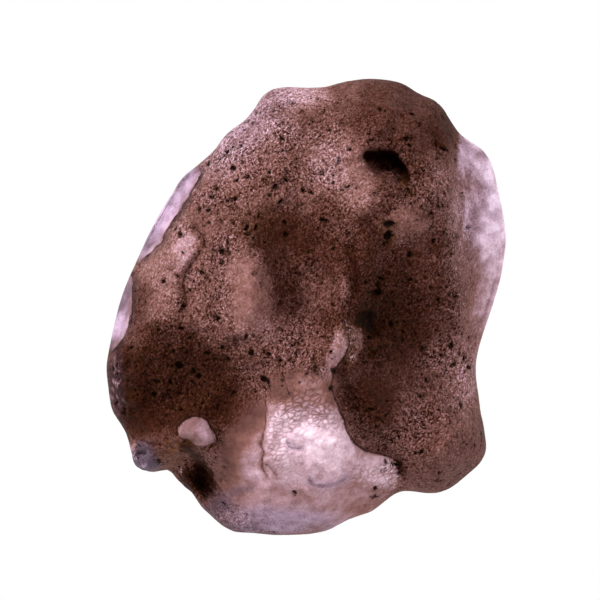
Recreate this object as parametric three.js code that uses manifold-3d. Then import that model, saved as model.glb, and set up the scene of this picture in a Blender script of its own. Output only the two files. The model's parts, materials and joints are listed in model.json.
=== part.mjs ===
// A tektite: one loose pebble of smoky natural glass, thrown out molten by an impact
// and etched in the ground. It lies on its back. +Z is up, +X is right and +Y is away,
// as it is seen from straight above, in millimetres. The origin is on the resting face,
// under the middle of the pebble's box.
import * as THREE from "three";
import { ImprovedNoise } from "three/addons/math/ImprovedNoise.js";
import { mergeVertices } from "three/addons/utils/BufferGeometryUtils.js";
import Module from "manifold-3d";

// Driving dimensions
const LENGTH = 32.0; // along Y
const WIDTH = 28.0; // along X
const RIM_HEIGHT = 6.0; // widest level of the pebble above the resting face
const FRONT_RISE = 8.3; // dome of the upper side above the rim
const BACK_DROP = 6.5; // depth of the underside below the rim, before the resting face is worn flat
const FRONT_FULLNESS = 0.9; // under 1 is flatter on top and steeper at the rim
const BACK_FULLNESS = 0.8;
const RIM_TILT = [-0.06, 0.02]; // slope of the rim along X and Y

// Facets: 20 * (FACET_STEPS + 1) ** 2 triangles, of which the upper side gets the larger share
const FACET_STEPS = 19;
const RIM_SHARE = 0.62; // share of the sphere's arc from the top pole that the upper side uses

// Spots of fine relief that draw the facets together: middle, reach, pull
const DETAIL_SPOTS = [
  { name: "knob", at: [-7.7, -9.4], reach: 4.4, pull: 0.45 },
  { name: "burst bubble", at: [5.7, 9.75], reach: 3.8, pull: 0.5 },
  { name: "tongue", at: [2.4, -2.8], reach: 4.6, pull: 0.4 },
];

// Lumps of the whole skin: wavelength and height of each layer
const LUMPS = [
  { wave: 5.2, height: 0.42 },
  { wave: 2.1, height: 0.16 },
];
const LUMP_SEED = 17.3; // where in the noise the skin is read

// Flutes of the sides, deepest halfway up to the middle of each face and gone at the rim
const FLUTE_DEPTH = 0.13; // share of the radius
const FLUTE_COUNT = 2.6; // larger is narrower flutes
const FLUTE_SEEDS = { upper: 3.7, under: 8.2 };

// Silhouette seen from above, anticlockwise from the right, as points of a closed smooth curve
const SILHOUETTE = [
  [12.9, -0.1], [13.4, 1.6], [14.0, 4.8], [13.3, 8.3], [12.8, 10.3], [11.9, 11.3], [10.85, 11.8],
  [9.9, 13.2], [9.2, 14.3], [7.9, 14.8], [6.5, 15.7], [4.6, 16.0], [2.8, 15.8], [1.4, 15.3],
  [-1.9, 15.3], [-2.7, 15.1], [-3.3, 14.4], [-3.8, 13.4], [-5.6, 12.0], [-6.3, 11.0], [-7.5, 9.9],
  [-8.7, 8.9], [-9.3, 7.9], [-10.4, 6.1], [-11.9, 3.0], [-12.9, 0.5], [-13.6, -2.3], [-14.0, -3.9],
  [-13.8, -6.0], [-13.5, -7.4], [-12.8, -8.3], [-12.3, -9.3], [-12.3, -10.2], [-11.8, -11.0],
  [-11.0, -11.4], [-10.0, -11.3], [-9.1, -11.7], [-8.4, -12.4], [-7.2, -14.1], [-5.6, -15.2],
  [-4.4, -15.7], [-1.9, -16.0], [0.9, -15.8], [2.1, -15.3], [3.2, -14.65], [4.4, -14.4],
  [5.9, -13.2], [6.8, -12.8], [8.8, -13.05], [9.6, -12.9], [10.9, -12.0], [12.3, -10.7],
  [12.6, -10.0], [12.1, -7.1], [11.8, -4.0], [12.3, -1.8],
];

const END_SHARE = 0.3; // share of a ridge or ledge over which it dies out at each end
const FACE_FADE = 0.45; // share of the height, from the rim, over which relief grows to its full size
const RIM_LUMPS = 0.35; // share of the lumps that is left at the rim
const LINE_STEPS = 40; // straight steps that a ridge or ledge is measured by
const OUTLINE_STEPS = 1440; // the same for the silhouette
const MERGE_GAP = 1e-5; // points closer than this are one

// Broad swells and hollows of the upper side: middle, reach along their own axes, turn in degrees, rise.
// A block has a flat top and steeper sides.
const UPPER_SWELLS = [
  { name: "right bowl", at: [7.4, -1.8], reach: [5.2, 9.2], turn: 6, rise: -2.5 },
  { name: "left bowl", at: [-7.4, -5.8], reach: [6.0, 4.9], turn: -12, rise: -1.8 },
  { name: "pale lobe", at: [0.3, -10.0], reach: [5.0, 6.6], turn: 0, rise: 0.2 },
  { name: "crown", at: [5.6, 12.6], reach: [6.0, 4.2], turn: -20, rise: 1.0 },
  { name: "shoulder", at: [5.6, 7.0], reach: [4.6, 3.8], turn: 0, rise: 0.9 },
  { name: "heel", at: [9.6, -10.2], reach: [3.6, 3.0], turn: 30, rise: 1.2 },
  { name: "smooth hollow", at: [-5.2, -12.9], reach: [3.0, 2.2], turn: 20, rise: -0.9 },
  { name: "notch under the knob", at: [-7.3, -11.9], reach: [2.0, 2.4], turn: 25, rise: -2.2 },
  { name: "chin", at: [-11.2, -10.3], reach: [1.9, 1.7], turn: 0, rise: 0.8 },
  { name: "knob", at: [-7.7, -8.8], reach: [2.1, 2.0], turn: -15, rise: 1.6, block: true },
  { name: "burst bubble", at: [5.7, 9.75], reach: [2.3, 1.6], turn: -35, rise: -1.4 },
];

// Ridges and channels of the upper side: line, half width, rise
const UPPER_RIDGES = [
  {
    name: "centre channel",
    line: [[-1.8, 9.6], [-1.0, 4.7], [-0.2, 1.2], [-0.4, -3.4]],
    half: 2.9, rise: -1.7,
  },
  { name: "middle rib", line: [[-3.4, 7.6], [-4.0, 1.9], [-4.6, -3.6]], half: 2.4, rise: 0.9 },
  { name: "left rib", line: [[-8.6, 6.2], [-9.7, 1.9], [-9.8, -2.6]], half: 1.7, rise: 0.6 },
];

// Ledges of the upper side. Going along the line, the left side is the high one.
// A rise lifts the high side and dies away from the edge; a drop lowers the other side in the same way.
const UPPER_LEDGES = [
  {
    name: "tongue and lobe cliff",
    line: [
      [7.4, -12.4], [6.2, -11.7], [5.4, -10.9], [4.2, -10.2], [3.0, -9.1], [2.4, -7.4], [1.9, -5.6],
      [1.9, -4.3], [2.6, -3.2], [3.2, -2.2], [2.9, -1.1], [1.4, -0.7], [-0.4, -1.2],
    ],
    rise: 1.1, drop: 0, reach: 3.0, edge: 0.7,
  },
  {
    name: "left facet",
    line: [
      [-5.9, 11.0], [-6.8, 9.8], [-7.5, 8.5], [-8.4, 7.1], [-9.3, 5.6], [-10.3, 3.9], [-11.2, 2.4],
    ],
    rise: 0.2, drop: 1.8, reach: 4.0, edge: 0.45,
  },
  {
    name: "left lower facet",
    line: [[-11.7, 2.8], [-12.1, 1.2], [-12.4, -0.6], [-12.9, -2.2], [-13.4, -3.4]],
    rise: 0, drop: 1.1, reach: 3.0, edge: 0.45,
  },
  {
    name: "right shelf",
    line: [
      [11.4, -4.6], [11.4, -2.2], [11.1, 0.4], [10.5, 3.3], [10.6, 6.4], [10.4, 9.6],
      [10.6, 12.0], [10.2, 14.2],
    ],
    rise: 0.2, drop: 2.0, reach: 5.0, edge: 1.0,
  },
  {
    name: "lobe's left crease",
    line: [[-3.1, -5.0], [-2.8, -7.2], [-3.0, -9.7], [-3.0, -11.6], [-1.8, -12.9]],
    rise: 0.45, drop: 0.15, reach: 1.8, edge: 0.45,
  },
];

// The larger etch pits: middle, radius, depth
const UPPER_PITS = [
  { at: [5.8, 5.3], radius: 0.9, depth: 0.45 },
  { at: [4.6, -1.4], radius: 1.1, depth: 0.9 },
  { at: [5.2, 3.0], radius: 0.8, depth: 0.35 },
  { at: [-8.9, -4.1], radius: 0.8, depth: 0.4 },
  { at: [-7.7, -4.7], radius: 0.9, depth: 0.35 },
  { at: [-2.9, -5.0], radius: 0.8, depth: 0.35 },
  { at: [-4.6, -3.2], radius: 0.7, depth: 0.3 },
  { at: [-5.4, 6.6], radius: 0.8, depth: 0.3 },
  { at: [0.6, 8.9], radius: 0.8, depth: 0.3 },
  { at: [8.4, 3.6], radius: 0.9, depth: 0.35 },
  { at: [8.0, -6.0], radius: 0.9, depth: 0.35 },
  { at: [5.6, -5.6], radius: 1.0, depth: 0.4 },
  { at: [9.6, 9.4], radius: 0.8, depth: 0.35 },
  { at: [2.2, 12.4], radius: 0.9, depth: 0.35 },
];

// Thumb-shaped hollows of the underside, which frame the resting face.
// The glass is thinnest over the front one.
const UNDER_HOLLOWS = [
  { name: "rear right", at: [7.6, 8.0], reach: [5.0, 4.2], turn: 30, rise: 1.5 },
  { name: "rear left", at: [-5.8, 9.2], reach: [4.4, 3.6], turn: -40, rise: 1.2 },
  { name: "side left", at: [-9.6, -1.6], reach: [3.6, 4.6], turn: 0, rise: 1.0 },
  { name: "front left", at: [-7.4, -9.2], reach: [4.0, 3.8], turn: 35, rise: 1.1 },
  { name: "front", at: [0.4, -11.2], reach: [6.2, 5.2], turn: 0, rise: 3.2 },
  { name: "front right", at: [8.4, -7.6], reach: [3.8, 4.8], turn: -20, rise: 1.4 },
];

const SKIN_COLOUR = 0x5c3f3b;
const SKIN_ROUGHNESS = 0.55;

const noise = new ImprovedNoise();
const { smoothstep, degToRad, lerp } = THREE.MathUtils;

// Offset of a point from a form's middle, in reaches along the form's own turned axes
function reachesFrom(x, y, { at, reach, turn }) {
  const angle = degToRad(turn);
  const dx = x - at[0];
  const dy = y - at[1];
  const along = (dx * Math.cos(angle) + dy * Math.sin(angle)) / reach[0];
  const across = (dy * Math.cos(angle) - dx * Math.sin(angle)) / reach[1];
  return Math.hypot(along, across);
}

// A swell that meets its surroundings smoothly, round on top unless it is a block
function swell(x, y, form) {
  const far = reachesFrom(x, y, form);
  const crown = form.block ? far ** 4 : far ** 2;
  return far < 1 ? form.rise * (1 - crown) ** 2 : 0;
}

// A hand-drawn line as a smooth run of short steps
function stepsAlong(line) {
  const points = line.map(([x, y]) => new THREE.Vector3(x, y, 0));
  return new THREE.CatmullRomCurve3(points).getPoints(LINE_STEPS);
}

// Distance of a point from a stepped line, positive on its left, and its place along it from 0 to 1
function placeBeside(x, y, steps) {
  let best = { distance: Infinity, along: 0 };
  for (let i = 0; i + 1 < steps.length; i++) {
    const [a, b] = [steps[i], steps[i + 1]];
    const [ex, ey] = [b.x - a.x, b.y - a.y];
    const share = THREE.MathUtils.clamp(((x - a.x) * ex + (y - a.y) * ey) / (ex * ex + ey * ey), 0, 1);
    const distance = Math.hypot(x - a.x - share * ex, y - a.y - share * ey);
    if (distance < Math.abs(best.distance)) {
      const left = ex * (y - a.y) - ey * (x - a.x) >= 0;
      best = { distance: left ? distance : -distance, along: (i + share) / (steps.length - 1) };
    }
  }
  return best;
}

// Full along the middle of a line, and nothing at its two ends
const endFade = (along) => smoothstep(along, 0, END_SHARE) * (1 - smoothstep(along, 1 - END_SHARE, 1));

function ridge(x, y, { steps, half, rise }) {
  const { distance, along } = placeBeside(x, y, steps);
  const far = Math.abs(distance) / half;
  return far < 1 ? rise * (1 - far * far) ** 2 * endFade(along) : 0;
}

function ledge(x, y, { steps, rise, drop, reach, edge }) {
  const { distance, along } = placeBeside(x, y, steps);
  const high = smoothstep(distance, -edge, edge);
  const dying = Math.exp(-((distance / reach) ** 2)) * endFade(along);
  return (rise * high - drop * (1 - high)) * dying;
}

const withSteps = (form) => ({ ...form, steps: stepsAlong(form.line) });
const ridges = UPPER_RIDGES.map(withSteps);
const ledges = UPPER_LEDGES.map(withSteps);

function upperRelief(x, y) {
  let z = 0;
  for (const form of UPPER_SWELLS) z += swell(x, y, form);
  for (const form of ridges) z += ridge(x, y, form);
  for (const form of ledges) z += ledge(x, y, form);
  for (const { at, radius, depth } of UPPER_PITS) {
    z += swell(x, y, { at, reach: [radius, radius], turn: 0, rise: -depth });
  }
  return z;
}

function underRelief(x, y) {
  return UNDER_HOLLOWS.reduce((z, form) => z + swell(x, y, form), 0);
}

function lumps(x, y, z) {
  return LUMPS.reduce((sum, { wave, height }) => {
    return sum + height * noise.noise(x / wave + LUMP_SEED, y / wave + LUMP_SEED, z / wave + LUMP_SEED);
  }, 0);
}

// Share of the radius that a flute takes, in a direction and at a tilt from the pole to the rim
function flute(angle, tilt, seed) {
  const wave = noise.noise(FLUTE_COUNT * Math.cos(angle), FLUTE_COUNT * Math.sin(angle), seed);
  return FLUTE_DEPTH * Math.max(wave, 0) * Math.sin(2 * tilt) ** 2;
}

// The silhouette's distance from the middle in any direction, read from a fine run along its curve
function silhouetteReader() {
  const points = SILHOUETTE.map(([x, y]) => new THREE.Vector3(x, y, 0));
  const run = new THREE.CatmullRomCurve3(points, true).getPoints(OUTLINE_STEPS).slice(0, -1);
  const rim = run.map((p) => ({ angle: Math.atan2(p.y, p.x), radius: Math.hypot(p.x, p.y) }));
  rim.sort((a, b) => a.angle - b.angle);
  return (angle) => {
    let after = rim.findIndex((p) => p.angle > angle);
    if (after < 0) after = 0;
    const [a, b] = [rim.at(after - 1), rim[after]];
    const turn = 2 * Math.PI;
    const gap = (b.angle - a.angle + turn) % turn;
    return lerp(a.radius, b.radius, gap > 0 ? ((angle - a.angle + turn) % turn) / gap : 0);
  };
}

// A plan point moved towards the spots of fine relief that it is near
function drawnTogether([x, y]) {
  for (const { at, reach, pull } of DETAIL_SPOTS) {
    const far = Math.hypot(x - at[0], y - at[1]) / reach;
    if (far >= 1) continue;
    const kept = 1 - pull * (1 - far * far) ** 2;
    x = at[0] + (x - at[0]) * kept;
    y = at[1] + (y - at[1]) * kept;
  }
  return [x, y];
}

// Moves each point of a unit sphere to the pebble's skin
function shapePebble(sphere) {
  const silhouette = silhouetteReader();
  const place = sphere.attributes.position;
  const arcToRim = RIM_SHARE * Math.PI;
  for (let i = 0; i < place.count; i++) {
    const angle = Math.atan2(place.getY(i), place.getX(i));
    const arc = Math.acos(THREE.MathUtils.clamp(place.getZ(i), -1, 1));
    const upper = arc <= arcToRim;
    const tilt = (upper ? arc / arcToRim : (Math.PI - arc) / (Math.PI - arcToRim)) * (Math.PI / 2);
    const fluted = 1 - flute(angle, tilt, upper ? FLUTE_SEEDS.upper : FLUTE_SEEDS.under);
    const radius = silhouette(angle) * Math.sin(tilt) * fluted;
    const plan = [radius * Math.cos(angle), radius * Math.sin(angle)];
    const [x, y] = upper ? drawnTogether(plan) : plan;
    const height = Math.max(Math.cos(tilt), 0);
    const onFace = smoothstep(height, 0, FACE_FADE);
    const rimLevel = RIM_HEIGHT + RIM_TILT[0] * x + RIM_TILT[1] * y;
    const z = upper
      ? rimLevel + FRONT_RISE * height ** FRONT_FULLNESS + upperRelief(x, y) * onFace
      : rimLevel - BACK_DROP * height ** BACK_FULLNESS + underRelief(x, y) * onFace;
    place.setXYZ(i, x, y, z + lumps(x, y, z) * lerp(RIM_LUMPS, 1, onFace));
  }
}

const wasm = await Module();
wasm.setup();

function solidOf(geometry) {
  const bare = geometry.clone().deleteAttribute("normal").deleteAttribute("uv");
  const merged = mergeVertices(bare, MERGE_GAP);
  return new wasm.Manifold(
    new wasm.Mesh({
      numProp: 3,
      vertProperties: merged.attributes.position.array,
      triVerts: new Uint32Array(merged.index.array),
    }),
  );
}

function geometryOf(solid) {
  const mesh = solid.getMesh();
  const geometry = new THREE.BufferGeometry();
  geometry.setAttribute("position", new THREE.BufferAttribute(mesh.vertProperties, 3));
  geometry.setIndex(new THREE.BufferAttribute(mesh.triVerts, 1));
  return geometry;
}

// The pebble with its resting face worn flat at z = 0, set over the origin
function makePebble() {
  const sphere = new THREE.IcosahedronGeometry(1, FACET_STEPS);
  shapePebble(sphere);
  const below = new THREE.BoxGeometry(2 * WIDTH, 2 * LENGTH, BACK_DROP);
  below.translate(0, 0, -BACK_DROP / 2);
  const geometry = geometryOf(solidOf(sphere).subtract(solidOf(below)));
  geometry.computeBoundingBox();
  const { min, max } = geometry.boundingBox;
  geometry.translate(-(min.x + max.x) / 2, -(min.y + max.y) / 2, 0);
  geometry.scale(WIDTH / (max.x - min.x), LENGTH / (max.y - min.y), 1);
  geometry.computeVertexNormals();
  return geometry;
}

const glass = new THREE.MeshStandardMaterial({
  color: SKIN_COLOUR,
  roughness: SKIN_ROUGHNESS,
  metalness: 0,
});
const pebble = new THREE.Mesh(makePebble(), glass);
pebble.name = "tektite";

const part = new THREE.Group();
part.name = "tektite pebble";
part.add(pebble);

export default part;
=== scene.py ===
import json

import bpy
import numpy as np
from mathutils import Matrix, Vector, kdtree, noise

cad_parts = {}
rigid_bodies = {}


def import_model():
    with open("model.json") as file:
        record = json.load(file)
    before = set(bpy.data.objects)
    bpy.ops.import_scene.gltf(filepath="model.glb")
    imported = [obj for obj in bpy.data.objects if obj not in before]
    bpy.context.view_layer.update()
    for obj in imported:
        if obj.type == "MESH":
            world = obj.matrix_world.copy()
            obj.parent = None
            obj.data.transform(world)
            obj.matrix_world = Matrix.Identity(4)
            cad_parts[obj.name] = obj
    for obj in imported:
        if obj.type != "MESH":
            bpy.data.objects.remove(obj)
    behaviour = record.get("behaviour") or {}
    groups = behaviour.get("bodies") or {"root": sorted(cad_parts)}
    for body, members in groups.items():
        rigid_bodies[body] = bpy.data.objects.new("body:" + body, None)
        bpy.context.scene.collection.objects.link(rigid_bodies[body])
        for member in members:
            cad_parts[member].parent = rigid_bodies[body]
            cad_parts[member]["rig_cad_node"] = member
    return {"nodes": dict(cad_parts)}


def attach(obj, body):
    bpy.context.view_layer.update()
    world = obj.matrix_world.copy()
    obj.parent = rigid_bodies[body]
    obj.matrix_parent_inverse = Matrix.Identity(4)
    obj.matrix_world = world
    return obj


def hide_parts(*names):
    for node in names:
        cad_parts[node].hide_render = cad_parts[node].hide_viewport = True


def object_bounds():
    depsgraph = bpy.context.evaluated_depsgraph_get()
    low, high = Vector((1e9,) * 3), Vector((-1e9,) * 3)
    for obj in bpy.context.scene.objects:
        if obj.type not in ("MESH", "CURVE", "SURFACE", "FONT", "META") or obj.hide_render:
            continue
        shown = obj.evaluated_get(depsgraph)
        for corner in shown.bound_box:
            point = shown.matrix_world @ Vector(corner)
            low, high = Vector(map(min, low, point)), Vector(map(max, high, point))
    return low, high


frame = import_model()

cad_low, cad_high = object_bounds()

# Tektite
# One pebble of smoky natural glass, splashed out molten by an impact and etched ever since by wet ground.
# Its skin is frosted all over, with soil in the pits and rust in the cracks. It is one piece, held by
# nothing, and lies loose on its worn back. Places on it are in millimetres, as seen from straight above.
MM = 0.001

# The pebble is copied from its solid, whose loose triangles are merged and rounded
bpy.ops.object.select_all(action="DESELECT")
solid = frame["nodes"]["tektite"]
solid.select_set(True)
bpy.context.view_layer.objects.active = solid
bpy.ops.object.duplicate()
pebble = bpy.context.active_object
pebble.name = "tektite_pebble"
pebble.data.name = "tektite_pebble"
del pebble["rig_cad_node"]
bpy.ops.object.mode_set(mode="EDIT")
bpy.ops.mesh.select_all(action="SELECT")
bpy.ops.mesh.remove_doubles(threshold=0.001 * MM)
bpy.ops.mesh.customdata_custom_splitnormals_clear()
bpy.ops.object.mode_set(mode="OBJECT")
bpy.ops.object.shade_smooth()


def work(kind, **settings):
    """One modifier, set and applied to the pebble."""
    tool = pebble.modifiers.new(kind.lower(), kind)
    for name, value in settings.items():
        setattr(tool, name, value)
    bpy.ops.object.modifier_apply(modifier=tool.name)


work("SUBSURF", levels=2, render_levels=2)


def skin():
    """Places of the pebble's points in millimetres, and the way that each one faces."""
    mesh = pebble.data
    places = np.empty(len(mesh.vertices) * 3)
    facing = np.empty(len(mesh.vertices) * 3)
    mesh.vertices.foreach_get("co", places)
    mesh.vertices.foreach_get("normal", facing)
    return places.reshape(-1, 3) / MM, facing.reshape(-1, 3)


def ease(value, low, high):
    """0 below low, 1 above high, and smooth between."""
    share = np.clip((value - low) / (high - low), 0, 1)
    return share * share * (3 - 2 * share)


def drawn(points, closed=False):
    """A given line with its corners cut twice, so that it runs smoothly."""
    line = np.array(points, float)
    for _ in range(2):
        if closed:
            line = np.vstack([line, line[:1]])
        near = 0.75 * line[:-1] + 0.25 * line[1:]
        far = 0.25 * line[:-1] + 0.75 * line[1:]
        cut = np.stack([near, far], 1).reshape(-1, 2)
        line = cut if closed else np.vstack([line[:1], cut, line[-1:]])
    return np.vstack([line, line[:1]]) if closed else line


def beside(plan, points, closed=False):
    """Distance of each place from a drawn line, positive on its left, and its share along the line."""
    line = drawn(points, closed)
    gap = np.full(len(plan), np.inf)
    left = np.ones(len(plan))
    along = np.zeros(len(plan))
    for i, (a, b) in enumerate(zip(line[:-1], line[1:])):
        run = b - a
        share = np.clip((plan - a) @ run / (run @ run), 0, 1)
        off = plan - a - share[:, None] * run
        distance = np.hypot(off[:, 0], off[:, 1])
        nearer = distance < gap
        gap[nearer] = distance[nearer]
        side = run[0] * (plan[:, 1] - a[1]) - run[1] * (plan[:, 0] - a[0])
        left[nearer] = np.where(side[nearer] >= 0, 1, -1)
        along[nearer] = ((i + share) / (len(line) - 1))[nearer]
    return gap * left, along


def within(plan, outline):
    """Distance of each place from a closed outline drawn anticlockwise, positive inside it."""
    return beside(plan, outline, closed=True)[0]


def ends_fade(along, share):
    """1 along the middle of a line, and 0 at its two ends."""
    return ease(along, 0, share) * (1 - ease(along, 1 - share, 1))


def far_from(plan, at, reach, turn=0):
    """Distance of each place from a spot, in reaches along the spot's own turned axes."""
    angle = np.radians(turn)
    off = plan - np.array(at)
    along = off @ (np.cos(angle), np.sin(angle)) / reach[0]
    across = off @ (-np.sin(angle), np.cos(angle)) / reach[1]
    return np.hypot(along, across)


def spot(plan, at, reach, turn=0, core=0.3):
    """1 in the core of a spot, and 0 past its reach."""
    return 1 - ease(far_from(plan, at, reach, turn), core, 1)


WEIGHT_STEPS = 400


def press(name, weights, height, direction="NORMAL"):
    """Moves the skin by a height in millimetres where it is weighted, with a Displace modifier."""
    group = pebble.vertex_groups.new(name=name)
    steps = np.rint(np.clip(weights, 0, 1) * WEIGHT_STEPS).astype(int)
    for step in np.unique(steps[steps > 0]):
        group.add(np.flatnonzero(steps == step).tolist(), step / WEIGHT_STEPS, "REPLACE")
    work("DISPLACE", vertex_group=name, strength=height * MM, direction=direction, mid_level=0)
    pebble.vertex_groups.clear()


# Lines and outlines that the relief and the colours share. Outlines run anticlockwise
CLIFF = [
    (7.0, -12.6), (6.4, -11.5), (6.2, -10.7), (5.5, -10.35), (4.3, -10.15), (3.6, -9.8), (3.0, -9.2),
    (2.65, -8.3), (2.45, -7.7), (2.07, -6.75), (1.8, -5.9), (1.65, -5.3), (1.75, -4.8), (2.1, -4.1),
    (2.65, -3.4), (2.85, -2.6), (2.9, -2.0), (2.75, -1.5), (2.55, -0.95), (2.3, -0.75), (1.9, -0.7),
]
PALE_LOBE = CLIFF + [
    (0.8, -1.0), (-0.5, -2.4), (-2.0, -3.4), (-4.2, -5.5), (-6.2, -9.5), (-6.5, -14.0), (0.0, -17.0),
    (6.0, -15.5),
]
LEFT_RIDGE = [
    (-11.9, 2.9), (-11.4, 3.3), (-10.75, 3.85), (-10.05, 4.6), (-9.8, 5.2), (-9.45, 6.0), (-8.95, 6.45),
    (-8.6, 7.05), (-8.1, 7.75), (-7.6, 8.75), (-7.4, 9.5), (-7.5, 10.3),
]
LEFT_STRIP = LEFT_RIDGE + [(-9.0, 12.0), (-13.0, 9.0), (-14.0, 4.0)]
LEFT_LOWER_RIDGE = [
    (-13.6, -3.2), (-13.25, -2.85), (-12.7, -2.1), (-12.35, -1.25), (-12.1, -0.1), (-12.1, 1.1),
    (-12.0, 1.9), (-12.4, 2.4),
]
LEFT_LOWER_STRIP = LEFT_LOWER_RIDGE + [(-14.0, 2.6), (-15.5, -1.0)]
RIGHT_SHELF = [
    (11.6, -6.0), (11.2, -3.0), (10.9, 0.0), (10.5, 3.3), (10.5, 6.4), (10.4, 9.4), (10.5, 11.4),
    (10.6, 12.6),
]
LEFT_CREASE = [
    (-8.3, 5.5), (-7.7, 5.5), (-7.3, 5.05), (-7.05, 4.6), (-7.35, 3.9), (-7.7, 3.4), (-8.35, 2.4),
    (-8.65, 1.8), (-8.45, 1.0), (-8.35, 0.3), (-8.5, -0.4), (-8.8, -1.5),
]
RIB_EDGE = [
    (-3.9, 4.4), (-3.7, 4.2), (-3.1, 3.85), (-2.85, 3.2), (-2.5, 2.4), (-2.2, 1.55), (-2.15, 0.4),
    (-2.5, -0.8),
]
LOBE_CREASE = [
    (-3.0, -5.6), (-2.8, -6.1), (-2.85, -7.6), (-2.95, -8.9), (-3.15, -9.6), (-2.95, -9.95), (-3.15, -10.8),
    (-2.9, -11.5), (-2.65, -11.8),
]
LOBE_BRANCH = [(-2.95, -10.7), (-2.75, -11.0), (-2.3, -11.45), (-2.0, -11.8)]
TONGUE_CRACK = [
    (0.6, -2.8), (0.5, -3.5), (0.7, -4.1), (0.5, -4.65), (1.0, -4.75), (1.4, -5.2), (1.65, -5.7),
]
CHIN_LINE = [(-12.2, -10.7), (-11.9, -10.4), (-11.6, -10.2), (-11.2, -10.1)]
CHIN_BROW = [(-11.7, -9.2), (-11.2, -9.45), (-10.7, -9.6), (-10.2, -9.55)]
SMALL_CRACKS = [
    [(3.0, 6.8), (3.5, 6.3), (3.9, 6.05), (4.25, 6.15), (4.6, 6.35), (5.0, 6.7)],
    [(4.3, 6.0), (4.6, 5.35), (4.9, 5.05), (5.3, 5.05)],
    [(8.7, 6.7), (8.9, 5.9), (8.5, 5.25), (7.6, 4.6), (6.75, 4.1)],
    [(5.4, -0.75), (5.05, -0.2), (4.6, -0.45), (4.1, -0.7)],
    [(6.3, -2.7), (6.85, -3.5), (6.75, -4.0)],
    [(7.9, -2.9), (8.2, -3.9), (7.75, -4.6)],
    [(-1.7, -4.4), (-1.5, -5.2), (-1.3, -5.7), (-1.2, -6.2)],
    [(0.4, 3.2), (0.75, 2.45), (0.75, 1.0), (0.6, 0.3)],
    [(-2.9, 10.6), (-1.5, 10.9), (-0.7, 11.0)],
]
KNOB = [
    (-8.94, -8.58), (-8.95, -8.96), (-8.44, -9.21), (-8.13, -9.34), (-7.53, -9.65), (-6.88, -9.58),
    (-6.31, -9.4), (-6.26, -9.09), (-6.57, -8.58), (-6.82, -8.21), (-7.0, -7.83), (-7.5, -7.62),
    (-8.13, -7.68), (-8.57, -7.9),
]
TONGUE_RIM = [
    (3.05, -4.1), (3.35, -3.8), (3.7, -3.2), (3.9, -2.7), (3.9, -2.0), (3.6, -1.55), (3.2, -1.25),
    (2.7, -0.9), (2.3, -1.0), (2.5, -1.5), (2.85, -1.9), (2.95, -2.45), (2.85, -3.15), (2.8, -3.7),
]
BUBBLE = [
    (3.85, 10.75), (4.35, 9.95), (4.85, 9.25), (5.5, 8.8), (6.15, 8.55), (7.1, 8.7), (7.15, 9.15),
    (6.65, 10.0), (5.95, 10.7), (5.15, 10.8),
]
BUBBLE_WALL = [(4.1, 10.55), (5.15, 10.7), (5.95, 10.65), (6.65, 9.95), (7.1, 9.15), (7.1, 8.8)]
BUBBLE_CURL = [(5.35, 10.0), (5.8, 9.75), (6.1, 9.4), (6.3, 8.9)]
CUSHION_SHADE = [(0.1, -11.7), (0.3, -12.25), (0.95, -12.5), (1.85, -12.45), (2.6, -12.0), (3.1, -11.4)]
SCALLOP_SHADE = [(-1.4, -9.3), (-1.1, -9.7), (-0.8, -9.85), (-0.25, -9.85)]
NOTCH = dict(at=(-7.2, -11.7), reach=(1.2, 2.0), turn=30)

places, facing = skin()
plan = places[:, :2]
on_top = ease(facing[:, 2], 0.0, 0.35)

# The crisp edges: each ledge lowers the outer side of its line
for name, line, half, width, depth, fade in (
    # name, line, width of the step, reach of the slope, depth, share of the line that fades at each end
    ("under the cliff", CLIFF, 0.3, 1.6, 0.8, 0.1),
    ("left facet", LEFT_RIDGE, 0.25, 1.8, 0.5, 0.2),
    ("left lower facet", LEFT_LOWER_RIDGE, 0.3, 1.2, 0.4, 0.25),
):
    gap, along = beside(plan, line)
    low_side = gap if line is not CLIFF else -gap
    slope = ease(low_side, -0.05, half) * np.exp(-((gap / width) ** 2))
    if line is CLIFF:
        slope *= 1 - 0.6 * ease(along, 0.58, 0.72)
    press(name, slope * ends_fade(along, fade) * on_top, -depth, "Z")
gap, along = beside(plan, RIB_EDGE)
slope = ease(gap, -0.3, 0.2) * np.exp(-((gap / 1.2) ** 2))
press("beside the rib", slope * ends_fade(along, 0.25) * on_top, -0.25, "Z")

# The creases and cracks
for line, half, depth in (
    # line, half of the groove's width, depth
    (LEFT_CREASE, 0.5, 0.2),
    (LOBE_CREASE, 0.3, 0.25),
    (LOBE_BRANCH, 0.25, 0.15),
    (TONGUE_CRACK, 0.3, 0.22),
    (CUSHION_SHADE, 0.4, 0.3),
    (SCALLOP_SHADE, 0.35, 0.25),
    (CHIN_LINE, 0.3, 0.2),
    (CHIN_BROW, 0.3, 0.15),
    *((crack, 0.25, 0.14) for crack in SMALL_CRACKS),
):
    gap, along = beside(plan, line)
    groove = np.clip(1 - np.abs(gap) / half, 0, 1) ** 1.5
    press("crease", groove * ends_fade(along, 0.15) * on_top, -depth, "Z")

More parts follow.
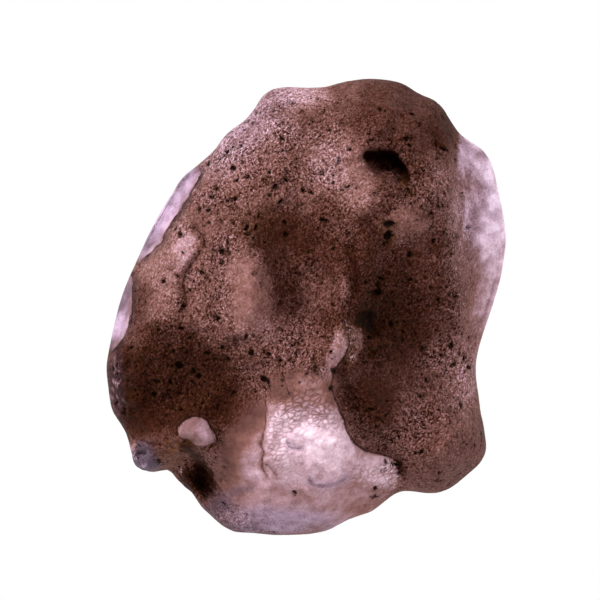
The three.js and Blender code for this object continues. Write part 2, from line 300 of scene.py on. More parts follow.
# The knob stands up as a flat block, the notch under it is deep, and the bubble is deepest under its far wall
knob_gap = within(plan, KNOB)
press("round the knob", np.exp(-((knob_gap / 0.5) ** 2)) * ease(-knob_gap, 0, 0.2) * on_top, -0.25, "Z")
press("knob", ease(knob_gap, -0.05, 0.3) * on_top, 0.2, "Z")
press("notch", spot(plan, **NOTCH) * ease(facing[:, 2], 0.2, 0.7), -0.45, "Z")
bubble_gap = within(plan, BUBBLE)
wall_gap = np.abs(beside(plan, BUBBLE_WALL)[0])
press("bubble", ease(bubble_gap, -0.02, 0.3) * (1 - 0.6 * ease(wall_gap, 0.4, 1.6)) * on_top, -1.2, "Z")
curl_gap, curl_along = beside(plan, BUBBLE_CURL)
press("bubble curl", np.exp(-((curl_gap / 0.18) ** 2)) * ends_fade(curl_along, 0.2) * on_top, 0.3, "Z")
rim_gap = within(plan, TONGUE_RIM)
press("tongue rim", ease(rim_gap, -0.1, 0.3) * on_top, 0.3, "Z")
under_rim = np.exp(-((rim_gap / 0.8) ** 2)) * ease(-rim_gap, 0, 0.25) * ease(plan[:, 0], 2.9, 3.4)
press("under the tongue rim", under_rim * on_top, -0.4, "Z")
press("chin bump", spot(plan, (-11.2, -10.9), (0.9, 0.6), core=0.1) * on_top, 0.2, "Z")

# Where the skin is calm: on the facets, the shelf, the pale lobe, the rib and the knob
shelf_gap, shelf_along = beside(plan, RIGHT_SHELF)
on_shelf = ease(-shelf_gap, 0.2, 1.4) * ends_fade(shelf_along, 0.08)
on_strip = np.maximum(
    ease(within(plan, LEFT_STRIP), -0.1, 0.2), ease(within(plan, LEFT_LOWER_STRIP), -0.1, 0.2),
)
calm = np.maximum.reduce([
    on_strip,
    on_shelf,
    spot(plan, (-0.2, -10.6), (6.0, 5.6), core=0.75),
    spot(plan, (-4.4, 1.0), (1.6, 3.2), core=0.6),
    ease(within(plan, KNOB), -0.2, 0.0),
])
rim = 1 - ease(np.abs(facing[:, 2]), 0.2, 0.65)

# Lumps and wormy furrows of the etched skin, which are all pressed inwards, and least at the rim
resting = 1 - ease(places[:, 2], 0.02, 0.6)
lumps = np.array([noise.fractal(Vector(point) * 0.75, 1, 2, 3) for point in places])
press("lumps", ease(lumps, -0.9, 0.9) * (1 - resting) * (1 - 0.9 * rim) * (1 - 0.4 * calm), -0.42)
furrows = np.array([noise.noise(Vector(point) * 1.9) for point in places])
worms = 1 - np.clip(np.abs(furrows) / 0.16, 0, 1)
press("furrows", worms * (1 - resting) * (1 - 0.8 * calm) * (1 - 0.6 * rim), -0.1)

# The scales at the head of the pale lobe overlap like a fish's, and slant up to the right
SCALE_TURN = 20
SCALE_SIZE = (0.50, 0.32)
turned = np.radians(SCALE_TURN)
across = plan @ (np.cos(turned), np.sin(turned)) / SCALE_SIZE[0]
upward = plan @ (-np.sin(turned), np.cos(turned)) / SCALE_SIZE[1]
scales = np.array([noise.voronoi(Vector((x, y, 0)))[0][0] for x, y in zip(across, upward)])
lobe_head = spot(plan, (-0.1, -8.2), (3.4, 3.0), core=0.4)
press("scales", np.clip(scales * 1.3, 0, 1) * lobe_head * on_top, -0.2)

# Etch pits: the large ones where they lie, and small ones strewn over the whole skin
LARGE_PITS = [
    # middle, radius
    ((-8.87, -4.1), 0.34), ((-7.9, -4.5), 0.24), ((-7.55, -4.8), 0.22), ((-7.85, -1.9), 0.2),
    ((-12.3, -2.85), 0.2), ((-9.45, -5.2), 0.17), ((-10.5, -5.2), 0.17), ((-10.6, -6.1), 0.2),
    ((-6.9, -6.1), 0.18), ((-7.25, -6.55), 0.2), ((-9.35, -7.1), 0.15), ((-5.05, -6.0), 0.18),
    ((-3.85, -3.2), 0.28), ((-2.9, -5.05), 0.32), ((-4.95, -2.25), 0.17), ((-4.25, -2.1), 0.2),
    ((-5.9, -2.85), 0.24), ((-6.95, -3.25), 0.22), ((-5.5, -3.65), 0.2), ((-2.65, -3.3), 0.22),
    ((-8.75, -1.5), 0.2), ((-8.05, -2.2), 0.18), ((-4.2, 5.6), 0.24), ((-3.5, 5.55), 0.2),
    ((-4.05, 5.1), 0.2), ((-5.55, 7.5), 0.2), ((-4.2, 9.05), 0.2), ((-2.2, 8.35), 0.24),
    ((-2.9, 8.8), 0.18), ((-1.8, 7.3), 0.2), ((-1.45, 8.85), 0.17), ((-5.1, 9.7), 0.18),
    ((-8.8, 5.1), 0.2), ((-3.3, 6.35), 0.17), ((-5.1, 5.9), 0.15), ((-5.9, 3.1), 0.16),
    ((-7.3, 2.4), 0.18), ((-9.0, 2.2), 0.2), ((-0.25, 8.1), 0.19), ((0.25, 8.0), 0.17),
    ((1.15, 6.0), 0.27), ((2.2, 10.2), 0.2), ((2.85, 8.4), 0.16), ((7.1, 8.2), 0.17), ((7.2, 3.65), 0.3),
    ((2.1, 4.7), 0.18), ((5.2, 2.0), 0.24), ((4.95, 1.0), 0.34), ((4.4, 1.0), 0.22), ((4.95, 1.55), 0.24),
    ((5.9, -1.2), 0.27), ((6.05, 0.3), 0.2), ((7.2, 1.9), 0.2), ((8.7, 1.35), 0.18), ((5.15, -4.1), 0.18),
    ((8.4, -5.05), 0.2), ((10.2, -4.0), 0.18), ((9.4, -3.35), 0.15), ((1.95, -4.45), 0.22),
    ((4.3, -7.15), 0.22), ((1.75, -5.6), 0.2), ((5.6, -7.55), 0.2), ((6.0, -9.3), 0.18),
    ((-0.85, -12.95), 0.2), ((5.55, -10.85), 0.18), ((5.75, 5.75), 0.36), ((5.7, 4.95), 0.4),
    ((-3.6, 2.3), 0.15), ((-0.4, -2.0), 0.13), ((-4.5, -3.6), 0.16), ((9.56, 11.06), 0.26),
    ((6.95, 11.76), 0.26), ((7.35, 11.7), 0.16), ((9.85, 8.16), 0.13), ((9.15, 7.64), 0.16),
    ((9.2, 7.06), 0.16), ((9.5, 7.06), 0.13), ((8.63, 6.48), 0.18), ((11.3, 5.6), 0.16),
    ((9.6, 5.2), 0.16), ((10.5, 4.85), 0.16), ((10.1, 3.8), 0.13), ((3.0, 10.95), 0.17),
    ((4.55, 11.6), 0.15), ((5.1, 10.95), 0.13), ((-11.75, -9.7), 0.15), ((5.35, 4.35), 0.16),
    ((6.2, -10.9), 0.2), ((6.4, -11.6), 0.2), ((-10.3, -10.7), 0.18),
]
SMALL_PITS = 1100
rng = np.random.RandomState(12)
pit_gap = np.full(len(places), 9.0)
places, facing = skin()
plan = places[:, :2]
for middle, radius in LARGE_PITS:
    near = (np.abs(plan - middle).max(1) < 2) & (facing[:, 2] > 0.05)
    stretch = 1 + 0.6 * rng.random_sample()
    reach = (0.85 * radius * stretch, 0.85 * radius / stretch)
    from_edge = (far_from(plan[near], middle, reach, 180 * rng.random_sample()) - 1) * radius
    pit_gap[near] = np.minimum(pit_gap[near], from_edge)
hosts = rng.choice(len(places), SMALL_PITS, replace=False)
radii = 0.05 + 0.15 * rng.random_sample(SMALL_PITS) ** 3
neighbours = kdtree.KDTree(len(places))
for index, point in enumerate(places):
    neighbours.insert(point, index)
neighbours.balance()
for host, radius in zip(hosts, radii):
    if calm[host] < 0.2:
        for _, index, distance in neighbours.find_range(places[host], 1.0):
            pit_gap[index] = min(pit_gap[index], distance - radius)
press("pits", ease(-pit_gap, -0.12, 0.2) * (1 - resting) * (1 - 0.5 * rim), -0.3)

# Rounding drew the rim in a little, so it is eased out again where the pebble's box leaves room
spare = np.minimum(cad_high[0] / MM - np.abs(plan[:, 0]), cad_high[1] / MM - np.abs(plan[:, 1]))
swell = 0.3 + 0.7 * np.maximum.reduce([
    spot(plan, (-11.4, -11.3), (1.6, 1.2)),
    spot(plan, (-8.7, -12.2), (1.1, 1.2)),
    spot(plan, (-4.5, -15.0), (2.6, 1.2)),
])
press("rim", rim * swell * ease(spare, 0.02, 0.6) * (1 - resting), 0.3)

# Painted light: the light that comes through the glass, painted into the colour, from 0, thick and dark, to 1,
# thin and pale
GLASS_LIGHT = 0.31
LIGHT_SPOTS = [
    # middle, reach, turn, light, core share of the reach
    ((-5.5, 12.5), (9.0, 5.5), 42, 0.54, 0.0),
    ((-0.5, 15.0), (3.6, 1.6), 0, 0.58, 0.1),
    ((-9.6, 3.4), (4.0, 6.0), -25, 0.43, 0.2),
    ((-8.45, 3.9), (1.45, 2.0), -20, 0.54, 0.45),
    ((-7.7, 6.6), (0.9, 0.9), 0, 0.33, 0.2),
    ((-10.8, -1.8), (2.0, 1.1), 0, 0.18, 0.3),
    ((-11.6, 0.0), (1.3, 3.2), 5, 0.27, 0.2),
    ((4.8, 0.8), (7.5, 9.5), 0, 0.19, 0.4),
    ((-1.2, 5.0), (4.2, 2.6), -10, 0.17, 0.3),
    ((-1.2, 1.8), (1.5, 3.6), 6, 0.20, 0.2),
    ((1.2, 0.9), (1.9, 2.2), 0, 0.29, 0.1),
    ((3.2, 2.4), (0.6, 2.2), 8, 0.12, 0.2),
    ((2.3, 1.4), (0.45, 1.4), 5, 0.34, 0.1),
    ((2.4, 5.4), (1.3, 1.1), 0, 0.28, 0.2),
    ((5.6, -0.8), (3.6, 5.2), 10, 0.12, 0.2),
    # painted black shadow right of the tongue's rim
    ((4.1, -1.1), (0.95, 1.3), 25, 0.02, 0.35),
    ((6.7, 13.2), (5.5, 4.0), -25, 0.22, 0.5),
    ((6.5, 9.5), (3.4, 3.0), 0, 0.23, 0.2),
    ((2.0, 10.0), (3.0, 3.2), 10, 0.47, 0.2),
    ((3.5, 8.3), (2.2, 2.2), -15, 0.43, 0.2),
    ((7.4, 6.0), (2.8, 2.0), 15, 0.38, 0.2),
    ((9.3, 9.2), (1.5, 2.4), 0, 0.38, 0.1),
    ((9.2, 12.6), (1.6, 1.6), 0, 0.18, 0.3),
    ((1.3, 6.5), (1.8, 0.9), 0, 0.22, 0.2),
    ((8.4, 6.7), (1.8, 0.8), -10, 0.26, 0.2),
    ((9.2, 4.4), (0.9, 1.2), 0, 0.20, 0.2),
    ((3.0, 15.2), (1.8, 1.0), 0, 0.30, 0.2),
    ((-9.0, -5.6), (6.4, 5.0), -8, 0.14, 0.5),
    ((-12.2, -6.0), (2.4, 4.5), 10, 0.11, 0.3),
    ((8.6, -9.8), (5.0, 4.0), 25, 0.31, 0.4),
    ((4.6, -6.6), (2.4, 3.0), -15, 0.14, 0.2),
    ((9.3, -3.4), (2.2, 1.9), 0, 0.35, 0.1),
    ((10.9, -5.0), (1.8, 5.0), 0, 0.46, 0.1),
    ((-0.6, -2.6), (2.6, 3.0), 0, 0.31, 0.2),
    ((-3.6, -1.5), (2.0, 1.5), 0, 0.44, 0.2),
    ((0.4, -5.4), (2.4, 1.7), 0, 0.46, 0.1),
    ((0.0, -13.6), (8.5, 3.4), 0, 0.54, 0.3),
    ((4.3, -14.2), (2.0, 1.0), 0, 0.44, 0.2),
    ((-3.2, -10.8), (2.4, 3.1), -15, 0.64, 0.2),
    ((-6.1, -10.4), (0.9, 1.3), 10, 0.30, 0.3),
    ((-6.0, -13.7), (1.5, 0.7), -5, 0.27, 0.2),
    ((-9.1, -10.0), (1.0, 1.2), 20, 0.29, 0.3),
    ((-11.35, -10.5), (1.4, 1.4), 0, 0.26, 0.5),
    # painted glints on the chin
    ((-12.15, -9.6), (0.3, 0.5), 0, 0.55, 0.2),
    ((-12.2, -10.35), (0.25, 0.3), 0, 0.60, 0.2),
    ((-11.5, -10.75), (0.35, 0.25), 0, 0.60, 0.2),
]
# Painted shade in the deep notch under the knob, with two lighter streaks
NOTCH_LIGHT = [
    ((-8.3, -9.8), (1.2, 0.7), -45, 0.09, 0.3),
    ((-7.5, -11.9), (1.9, 1.4), -50, 0.13, 0.4),
    ((-7.3, -11.2), (1.4, 0.8), -58, 0.07, 0.3),
    ((-6.45, -12.85), (0.2, 0.5), -5, 0.45, 0.2),
    ((-8.5, -11.2), (0.45, 0.25), -40, 0.38, 0.2),
]
# Light inside the crisp outlines of the lobe, the tongue, the knob, the strips and the bubble
LIGHT_INSIDE = [
    ((1.8, -4.2), (1.2, 1.6), -10, 0.48, 0.3),
    ((2.2, -2.6), (1.1, 1.9), -12, 0.53, 0.35),
    ((0.3, -9.8), (4.4, 4.2), 0, 0.68, 0.4),
    ((-1.4, -8.8), (1.7, 2.0), 0, 0.80, 0.2),
    ((0.7, -9.2), (2.4, 2.0), 0, 0.84, 0.35),
    ((1.9, -10.5), (1.6, 1.5), 0, 0.82, 0.3),
    ((5.0, -11.3), (2.2, 1.8), 10, 0.71, 0.35),
]
# The knob's painted light: a lighter middle, and painted shade on its lower and lower-left side
KNOB_LIGHT = [
    ((-7.3, -8.7), (3.0, 3.0), 0, 0.44, 0.8),
    ((-7.0, -8.8), (0.9, 0.7), -30, 0.55, 0.1),
    ((-7.2, -9.7), (1.6, 0.6), -10, 0.30, 0.2),
    ((-8.4, -9.3), (0.6, 0.5), -25, 0.16, 0.3),
]

# The wobble of the painted edges has a fixed seed, because the noise module takes one from the clock otherwise
WOBBLE_SEED = 12
noise.seed_set(WOBBLE_SEED)
turbulence = np.array([noise.noise_vector(Vector(point) * 0.55) for point in places])
ripple = np.array([noise.noise_vector(Vector(point) * 1.7) for point in places])
loose = plan + 0.55 * turbulence[:, :2] + 0.12 * ripple[:, :2]
close = plan + 0.1 * ripple[:, :2]
wander = np.array([noise.noise(Vector(point) * 1.1) for point in places])
glinting = np.array([noise.noise(Vector(point) * 2.6) for point in places])


def lay(values, value, weights):
    """Moves painted values towards one value where it is weighted."""
    values += (value - values) * weights


def paint(values, spots, share=1, where=loose):
    """Lays a list of spots, one over the other."""
    for at, reach, turn, value, core in spots:
        lay(values, value, share * spot(where, at, reach, turn, core))


def along_line(line, width, fade=0.2):
    """1 on a drawn line, fading to both sides and to its ends."""
    gap, along = beside(close, line)
    return np.exp(-((gap / width) ** 2)) * ends_fade(along, fade)


light = np.full(len(plan), GLASS_LIGHT)
paint(light, LIGHT_SPOTS)
paint(light, NOTCH_LIGHT, where=plan + 0.4 * turbulence[:, :2] + 0.5 * ripple[:, :2])
rib_gap, rib_along = beside(close, RIB_EDGE)
lay(light, 0.41, spot(loose, (-4.3, 1.0), (2.2, 4.2), 6, 0.3) * ease(-rib_gap, -0.05, 0.25))
# painted shade in the fold beside the rib edge, and along the left crease
lay(light, 0.14, 0.7 * np.exp(-(((rib_gap - 0.3) / 0.35) ** 2)) * ends_fade(rib_along, 0.2))
lay(light, 0.22, 0.8 * along_line(LEFT_CREASE, 0.3))
shelf_gap, shelf_along = beside(loose + 0.4 * turbulence[:, :2], RIGHT_SHELF)
shelf_top = ease(plan[:, 1], 9.0, 10.5) * ease(places[:, 2], 3.0, 5.5)
top_edge = ease(-beside(close, RIGHT_SHELF)[0], -0.05, 0.25)
on_shelf = ease(-shelf_gap, -1.0, 2.0) * (1 - shelf_top) + top_edge * shelf_top
on_shelf *= ends_fade(shelf_along, 0.08)
bright_shelf = ease(plan[:, 1], 1.0, 7.0)
shelf_light = 0.54 - 0.12 * spot(loose, (11.2, 2.5), (1.4, 2.2))
shelf_light = shelf_light + bright_shelf * (0.16 + 0.25 * wander) + 0.14 * ease(-shelf_gap, 1.2, 2.6)
lay(light, shelf_light, on_shelf)
# painted black shadow right of the cliff's end
lay(light, 0.08, spot(loose, (6.5, -11.0), (0.3, 0.9), 20, 0.3))
# painted shade in a hollow at the lower left of the lobe, and along the lobe's crease
hollow = spot(loose, (-4.7, -13.1), (2.2, 0.65), 33, 0.1)
lay(light, 0.40, hollow)
lay(light, 0.36, 0.6 * along_line(LOBE_CREASE, 0.3, 0.1))
# painted glints, pale mottles along the left edge
left_edge = spot(loose, (-13.3, -5.6), (1.1, 3.2), 0, 0.2)
lay(light, 0.42, left_edge * ease(glinting, 0.05, 0.4))

# The strips outside the two left ridges are painted bright, and painted shade runs along the inside of the
# ridges
strip_gap = np.maximum(within(close, LEFT_STRIP), within(close, LEFT_LOWER_STRIP))
ridge_foot = np.zeros(len(plan))
strip_share = np.zeros(len(plan))
for line, strip in ((LEFT_RIDGE, LEFT_STRIP), (LEFT_LOWER_RIDGE, LEFT_LOWER_STRIP)):
    gap, along = beside(close, line)
    strip_share = np.maximum(strip_share, ease(within(close, strip), -0.3, 0.0) * ends_fade(along, 0.18))
    ridge_foot = np.maximum(ridge_foot, np.exp(-((gap / 0.35) ** 2)) * ends_fade(along, 0.15))
ridge_foot *= np.clip(0.7 + wander, 0.1, 1)
strip_share *= ease(places[:, 2], 1.0, 5.5)
# painted shade along the inside of the ridges
lay(light, 0.09, 0.9 * ridge_foot)

# Inside the crisp outlines. Painted shade runs along the cushion and scallop lines and the lobe's crease and
# its branch, on the knob's lower side, and in the bubble, darkest along its far wall
crease_gap, _ = beside(close, LOBE_CREASE)
inside = light.copy()
head = ease(crease_gap, -0.05, 0.2) * ease(-loose[:, 1], 5.8, 8.0) * (1 - ease(-plan[:, 1], 10.5, 12.5))
lay(inside, 0.66, head * (1 - ease(plan[:, 0], 3.0, 4.5)))
paint(inside, LIGHT_INSIDE)
# painted shade along the cushion and scallop lines, the lobe's crease and its branch
lay(inside, 0.60, 0.7 * along_line(CUSHION_SHADE, 0.25))
lay(inside, 0.60, 0.8 * along_line(SCALLOP_SHADE, 0.17))
lay(inside, 0.42, 0.6 * along_line(LOBE_CREASE, 0.15, 0.1))
lay(inside, 0.45, 0.7 * along_line(LOBE_BRANCH, 0.2))
paint(inside, KNOB_LIGHT, ease(within(close, KNOB), -0.25, 0.0))
strip_light = 0.52 + 0.12 * spot(plan, (-9.9, 6.4), (1.5, 1.6)) - 0.12 * ease(-plan[:, 1], -2.6, -0.5)
strip_light += 0.2 * spot(plan, (-13.1, -1.3), (1.2, 1.5)) + 0.15 * wander
lay(inside, strip_light, strip_share)
in_bubble = ease(within(close, BUBBLE), -0.3, -0.1)
# the bubble is painted darker inside, with a painted shadow along its far wall
lay(inside, 0.24, in_bubble)
lay(inside, 0.04, in_bubble * (1 - ease(np.abs(beside(close, BUBBLE_WALL)[0]), 0.3, 0.55)))
lay(inside, 0.42, 0.8 * along_line(BUBBLE_CURL, 0.13))
outline_gap = np.maximum.reduce([
    within(close, PALE_LOBE), within(close, KNOB), within(close, BUBBLE) + 0.1, strip_gap,
])

# Soil in the cracks, and painted shade along the creases, the shade lines and the feet of the crisp edges. A
# place keeps the nearest line's signed distance
crack = np.full(len(plan), 99.0)
crack_dark = np.zeros(len(plan))
nearest = np.full(len(plan), 0.4)
for line, shift, half, dark in (
    # line, shift to its left, half of its width, darkness
    (LEFT_CREASE, 0, 0.06, 0.75),
    (LOBE_CREASE, 0, 0.06, 0.6),
    (CUSHION_SHADE, 0, 0.12, 0.3),
    (SCALLOP_SHADE, 0, 0.1, 0.35),
    (LOBE_BRANCH, 0, 0.04, 0.4),
    (TONGUE_CRACK, 0, 0.07, 0.7),
    (CHIN_LINE, 0, 0.1, 0.9),
    (CHIN_BROW, 0, 0.06, 0.6),
    (CLIFF, -0.06, 0.07, 0.7),
    (LEFT_RIDGE, -0.05, 0.05, 0.5),
    (LEFT_LOWER_RIDGE, -0.05, 0.05, 0.5),
    (KNOB[6:] + KNOB[:1], -0.05, 0.06, 0.8),
    *((small, 0, 0.05, 0.7) for small in SMALL_CRACKS),
):
    gap, along = beside(close, line)
    gap = gap - shift
    near = np.abs(gap) < nearest
    nearest[near] = np.abs(gap)[near]
    thick = half * (0.4 + 0.6 * ends_fade(along, 0.25)) * np.clip(1 + 1.2 * wander, 0.3, 2)
    crack[near] = (gap / thick)[near]
    crack_dark[near] = (dark * ends_fade(along, 0.06) * np.clip(0.8 + glinting, 0.2, 1.2))[near]
crack[on_top < 0.5] = 99

# How strongly the skin is etched into grains, where it is rusty, where it is clear and lilac, and its scales
GRAIN_SPOTS = [
    # middle, reach, turn, grain, core share of the reach
    ((-3.6, -9.6), (1.9, 3.0), -15, 0.18, 0.4),
    ((-10.2, 2.2), (2.4, 4.2), -12, 0.55, 0.4),
    ((-7.6, -11.6), (1.6, 1.8), 0, 1.30, 0.5),
    ((-4.2, 1.0), (1.9, 3.8), 6, 0.30, 0.4),
    ((-8.45, 3.9), (1.3, 2.0), -20, 0.35, 0.4),
    ((4.8, -0.4), (3.4, 5.0), 0, 1.30, 0.4),
    ((-8.8, -4.6), (5.0, 3.4), 0, 1.25, 0.5),
    ((3.4, 9.0), (2.6, 2.8), -10, 0.50, 0.3),
    ((7.4, 6.0), (2.4, 1.6), 15, 0.45, 0.3),
    ((2.0, -3.3), (1.1, 2.6), -15, 0.28, 0.4),
    ((-0.3, -5.7), (3.2, 1.9), 0, 0.22, 0.5),
    ((-11.2, -10.6), (1.4, 1.4), 0, 0.30, 0.5),
]
patches = np.array([noise.noise(Vector(point) * 0.45) for point in places])
etched = np.clip(0.95 + 0.5 * patches, 0.55, 1.3)
lay(etched, 0.55, ease(far_from(plan, (0.3, 0.2), (14, 16)), 0.75, 0.98))
paint(etched, GRAIN_SPOTS)
on_lobe = ease(within(close, PALE_LOBE), -0.1, 0.05)
lay(etched, 0.12, on_lobe * spot(loose, (-0.2, -11.0), (7.0, 5.8), 0, 0.75))
lay(etched, 0.15, on_shelf)
lay(etched, 0.05, on_strip)
lay(etched, 0.12, ease(within(close, KNOB), -0.1, 0.1))
tongue_rim = ease(within(close, TONGUE_RIM), -0.08, 0.08)
lay(etched, 1.3, tongue_rim)
lay(light, 0.39, tongue_rim)
STAIN_SPOTS = [
    # middle, reach, turn, share, core share of the reach
    ((-3.9, 6.3), (3.2, 3.0), 0, 0.40, 0.2),
    ((9.0, -3.4), (2.2, 1.6), 0, 0.40, 0.2),
    ((3.0, -2.6), (1.4, 2.2), -8, 0.5, 0.2),
    ((0.7, -3.8), (0.5, 1.6), 0, 0.5, 0.2),
    ((1.7, -5.2), (0.5, 0.9), 0, 0.8, 0.2),
    ((5.9, 5.3), (1.0, 1.2), 0, 0.9, 0.3),
    ((-9.2, -10.0), (1.2, 1.3), 20, 0.9, 0.3),
    ((-8.4, -9.4), (0.6, 0.6), 0, 0.8, 0.2),
    ((6.6, 8.75), (0.8, 0.4), 0, 0.5, 0.2),
    ((-0.4, -13.1), (1.0, 0.35), -25, 0.7, 0.2),
]
stained = np.full(len(plan), 0.08)
paint(stained, STAIN_SPOTS)
lay(stained, 0.85, tongue_rim)
LILAC_SPOTS = [
    # middle, reach, turn, share, core share of the reach
    ((-4.5, 13.0), (7.0, 3.0), 40, 0.35, 0.2),
    ((-2.0, -15.0), (7.0, 1.6), 0, 0.8, 0.2),
    ((-11.4, -10.6), (1.7, 1.5), 0, 1.0, 0.4),
    ((-13.3, -5.6), (1.2, 3.4), 0, 0.5, 0.3),
    ((-6.0, -13.9), (1.8, 1.2), 0, 0.7, 0.2),
]
lilac = np.zeros(len(plan))
paint(lilac, LILAC_SPOTS)
lay(lilac, 0.1 + 0.45 * bright_shelf, on_shelf)
lay(lilac, 0.9, on_strip)
lay(lilac, 0.3, ridge_foot)
lay(lilac, 0.55, hollow)
lay(lilac, 0.3, ease(within(close, KNOB), -0.1, 0.1))
lay(lilac, 0.4, np.maximum(along_line(CUSHION_SHADE, 0.35), along_line(SCALLOP_SHADE, 0.25)))
scaly = 0.2 * spot(loose, (0.3, -10.0), (4.0, 3.6), 0, 0.5)
lay(scaly, 0.7, spot(loose, (4.8, -11.8), (2.4, 1.6), 20, 0.4))
lay(scaly, 0.8, spot(loose, (-2.1, -9.2), (1.2, 2.8), 0, 0.3) * ease(crease_gap, -0.05, 0.1))
lay(scaly, 1.0, spot(loose, (-0.2, -7.2), (3.2, 1.7), 0, 0.5) * ease(crease_gap, -0.05, 0.1))


def keep(name, values):
    """Stores one number for each of the pebble's points, for its material to read."""
    attribute = pebble.data.attributes.new(name, "FLOAT", "POINT")
    attribute.data.foreach_set("value", np.asarray(values, np.float32))


for name, values in (
    ("light", light), ("light_inside", inside), ("outline_gap", outline_gap), ("pit_gap", pit_gap),
    ("crack", crack), ("crack_dark", crack_dark), ("etched", etched), ("stained", stained),
    ("lilac", lilac), ("scaly", scaly),
):
    keep(name, values)


class Glaze:
    """One socket in the skin's node tree. Sums, differences and products of sockets add Math nodes."""

    def __init__(self, tree, socket=None):
        self.tree = tree
        self.socket = socket

    def node(self, kind, settings=None, sockets=None, out=0):
        made = self.tree.nodes.new("ShaderNode" + kind)
        for name, value in (settings or {}).items():
            if name == "stops":
                ramp = made.color_ramp
                while len(ramp.elements) < len(value):
                    ramp.elements.new(1)
                for element, (position, colour) in zip(ramp.elements, value):
                    element.position = position
                    element.color = (*colour, 1)
            else:
                setattr(made, name, value)
        for name, value in (sockets or {}).items():
            if isinstance(value, Glaze):
                self.tree.links.new(value.socket, made.inputs[name])
            else:
                made.inputs[name].default_value = value
        return Glaze(self.tree, made.outputs[out] if made.outputs else None)

    def maths(self, operation, first, second):
        return self.node("Math", {"operation": operation}, {0: first, 1: second})

    def __add__(self, other):
        return self.maths("ADD", self, other)

    def __radd__(self, other):
        return self.maths("ADD", other, self)

    def __sub__(self, other):
        return self.maths("SUBTRACT", self, other)

    def __rsub__(self, other):
        return self.maths("SUBTRACT", other, self)

    def __mul__(self, other):
        return self.maths("MULTIPLY", self, other)

    def __rmul__(self, other):
        return self.maths("MULTIPLY", other, self)

    def larger(self, other):
        return self.maths("MAXIMUM", self, other)

    def eased(self, low, high):
        """0 below low, 1 above high, and smooth between."""
        return self.node(
            "MapRange", {"interpolation_type": "SMOOTHSTEP"},
            {"Value": self, "From Min": low, "From Max": high},
        )

    def mixed(self, share, other):
        """This colour, with a share of another colour over it."""
        return self.node(
            "Mix", {"data_type": "RGBA"}, {"Factor": share, 6: self, 7: other}, 2,
        )


# The frosted glass: its colour follows the painted light that comes through
GLASS_COLOURS = [
    (0.03, (0.004, 0.0010, 0.0005)),
    (0.12, (0.028, 0.0070, 0.0038)),
    (0.19, (0.058, 0.0165, 0.0100)),
    (0.28, (0.110, 0.046, 0.041)),
    (0.42, (0.225, 0.099, 0.084)),
    (0.55, (0.360, 0.200, 0.220)),
    (0.70, (0.580, 0.375, 0.445)),
    (0.90, (0.900, 0.650, 0.750)),
    (1.00, (0.970, 0.740, 0.830)),
]
LILAC_COLOURS = [
    (0.10, (0.022, 0.013, 0.018)),
    (0.40, (0.150, 0.098, 0.138)),
    (0.70, (0.540, 0.380, 0.540)),
    (0.90, (0.880, 0.720, 0.920)),
]
# the soil colour, also laid as painted shade along the creases, the shade lines and the feet of the crisp
# edges
SOIL_AND_SHADE = (0.004, 0.0016, 0.001, 1)
RUST = (0.105, 0.040, 0.012, 1)
finish = bpy.data.materials.new("frosted tektite glass")
finish.use_nodes = True
finish.node_tree.nodes.clear()
start = Glaze(finish.node_tree)


def stored(name):
    """A number that the pebble's points keep."""
    return start.node("Attribute", {"attribute_name": name}, out=2)


def cloud(at, scale, detail, roughness=0.6, out=0):
    """Soft noise whose grains are about one over the scale in millimetres."""
    return start.node(
        "TexNoise", {}, {"Vector": at, "Scale": scale, "Detail": detail, "Roughness": roughness}, out,
    )


object_place = start.node("TexCoord", out=3)
place = start.node("VectorMath", {"operation": "SCALE"}, {0: object_place, "Scale": 1 / MM})
swirl = cloud(place, 3.0, 2, out=1)
bend = start.node("VectorMath", {"operation": "SCALE"}, {0: swirl, "Scale": 0.3})
bent = start.node("VectorMath", {"operation": "ADD"}, {0: place, 1: bend})

# The light, with a crisp step at the outlines
step = (stored("outline_gap") + 0.2 * (cloud(place, 3.0, 2) - 0.5)).eased(-0.04, 0.04)
ground = stored("light")
thin = ground + step * (stored("light_inside") - ground)

# Grains of the etched skin, drawn out the way that the glass flowed, soft mottles, and the lobe's scales
FLOW_TURN = np.radians(60)
etch = stored("etched")
drawn_out = start.node("Mapping", {"vector_type": "TEXTURE"}, {
    "Vector": bent, "Rotation": (0, 0, FLOW_TURN), "Scale": (1.5, 0.85, 1),
})
fine = cloud(drawn_out, 6.5, 3, 0.65)
grains = start.node("TexVoronoi", {}, {"Vector": bent, "Scale": 6.0})
dust = cloud(place, 10.0, 2)
mottle = cloud(place, 1.7, 2, 0.5)
broad = cloud(place, 0.8, 3, 0.55)
slanted = start.node("Mapping", {"vector_type": "TEXTURE"}, {
    "Vector": place, "Rotation": (0, 0, turned), "Scale": (*SCALE_SIZE, 0.5),
})
to_edge = start.node("TexVoronoi", {"feature": "DISTANCE_TO_EDGE"}, {"Vector": slanted, "Scale": 1.0})
beads = to_edge.eased(-0.02, 0.25)
scale_share = stored("scaly")
speckle = (fine - 0.5) * 3.1 + (0.45 - grains) * 1.1 + (dust - 0.5) * 1.9
soft = (mottle - 0.5) * 0.5 + (broad - 0.5) * 0.4
speckled = thin * (1 + etch * speckle + soft + scale_share * (beads - 0.65) * 0.3)
colour = start.node("ValToRGB", {"stops": GLASS_COLOURS}, {"Fac": speckled})
clear = start.node("ValToRGB", {"stops": LILAC_COLOURS}, {"Fac": speckled})
colour = colour.mixed(stored("lilac"), clear)
rusty = stored("stained") * cloud(place, 2.6, 3).eased(0.4, 0.62)
colour = colour.mixed(rusty * 0.75, RUST)


def tiny_pits(scale, largest, share):
    """Round pits of many sizes, as a mask. The largest radius is in cells of one over the scale."""
    cells = {"Vector": bent, "Scale": scale}
    from_middle = start.node("TexVoronoi", {}, cells)
    chance = start.node("TexVoronoi", {}, cells, 1)
    lot = start.node("SeparateColor", {}, {0: chance})
    size = start.node("SeparateColor", {}, {0: chance}, 1)
    radius = lot.eased(1 - share, 1 - share + 0.05) * (0.25 + 0.75 * size) * largest * etch
    return (radius - from_middle).eased(-0.03, 0.08)
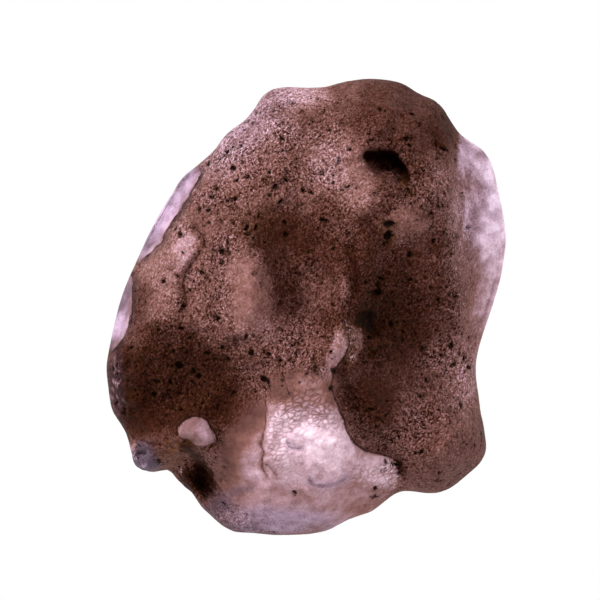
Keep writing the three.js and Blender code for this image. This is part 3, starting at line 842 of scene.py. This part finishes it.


# Soil in the pits and cracks, with a rusty halo, and painted shade along the creases, the shade lines and the
# feet of the crisp edges
edge = 0.5 * (cloud(place, 4.5, 2) - 0.5) + 0.6 * (cloud(place, 11.0, 2) - 0.5)
in_pit = edge - stored("pit_gap")
from_line = stored("crack")
soil_and_shade_lines = (1 + 3.0 * edge - from_line * from_line).eased(-0.4, 0.6) * stored("crack_dark")
pits = tiny_pits(1.9, 0.28, 0.35).larger(tiny_pits(3.6, 0.34, 0.5))
colour = colour.mixed(in_pit.eased(-0.22, 0.0) * etch * 0.2, RUST)
soil_and_shade = in_pit.eased(-0.03, 0.05).larger(pits * 0.85).larger(soil_and_shade_lines)
colour = colour.mixed(soil_and_shade * 0.95, SOIL_AND_SHADE)
height = (fine * 0.7 + (1 - grains) * 0.3) * etch + scale_share * beads * 0.6 - soil_and_shade * 0.8
relief = start.node("Bump", {}, {"Strength": 0.7, "Distance": 0.12 * MM, "Height": height})
frost = 0.42 - 0.15 * stored("lilac") + (fine - 0.5) * 0.3
glass = start.node("BsdfPrincipled", {}, {
    "Base Color": colour, "Roughness": frost, "IOR": 1.49, "Normal": relief, "Transmission Weight": 0.2,
    "Specular IOR Level": 0.0,
})
smoke = start.node("VolumeAbsorption", {}, {"Color": (0.80, 0.66, 0.70, 1), "Density": 250})
start.node("OutputMaterial", {}, {"Surface": glass, "Volume": smoke})
pebble.data.materials.clear()
pebble.data.materials.append(finish)
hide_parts("tektite")
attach(pebble, "root")

# Floor
# A plain white table that the pebble lies on, lit evenly from inside, so that the glass shows its colour.
TABLE_WIDTH = 4
TABLE_GAP = 0.02 * MM
bpy.ops.mesh.primitive_plane_add(size=TABLE_WIDTH, location=(0, 0, -TABLE_GAP))
floor = bpy.context.active_object
floor.name = "floor"
white = bpy.data.materials.new("lit white table")
white.use_nodes = True
white.node_tree.nodes.clear()
table = Glaze(white.node_tree)
glow = table.node("Emission", {}, {"Color": (1, 1, 1, 1), "Strength": 1.0})
table.node("OutputMaterial", {}, {"Surface": glow})
floor.data.materials.append(white)

# Light
# A dim pale room, and broad soft lamps low on four sides of the pebble.
room = bpy.data.worlds.new("pale room")
bpy.context.scene.world = room
room.use_nodes = True
room.node_tree.nodes["Background"].inputs["Color"].default_value = (1, 1, 1, 1)
room.node_tree.nodes["Background"].inputs["Strength"].default_value = 0.03
SOFT_LAMPS = [
    # place in metres, watts
    ((-0.16, 0.16, 0.15), 1.2),
    ((0.18, 0.14, 0.14), 0.46),
    ((0.16, -0.17, 0.14), 0.46),
    ((-0.17, -0.15, 0.14), 0.46),
]
LAMP_WIDTH = 0.12
for where, energy in SOFT_LAMPS:
    bpy.ops.object.light_add(type="AREA", location=where)
    lamp = bpy.context.active_object
    lamp.name = "soft lamp"
    lamp.data.size = LAMP_WIDTH
    lamp.data.energy = energy
    lamp.visible_glossy = False
    lamp.visible_transmission = False
    lamp.rotation_euler = (-lamp.location).to_track_quat("-Z", "Y").to_euler()

# Camera
# It looks straight down through a long lens, with the frame's middle a little off the pebble's middle.
FRAME_WIDTH = 42.0 * MM
FRAME_MIDDLE = (-0.455 * MM, 0.49 * MM)
RIM_LEVEL = 6.0 * MM
bpy.ops.object.camera_add()
camera = bpy.context.active_object
camera.data.lens = 800
distance = FRAME_WIDTH * camera.data.lens / camera.data.sensor_width
camera.location = (*FRAME_MIDDLE, RIM_LEVEL + distance)
camera.rotation_euler = (0, 0, 0)
camera.data.clip_start = 0.001
camera.data.clip_end = 10
bpy.context.scene.camera = camera
bpy.context.scene.view_settings.view_transform = "Standard"
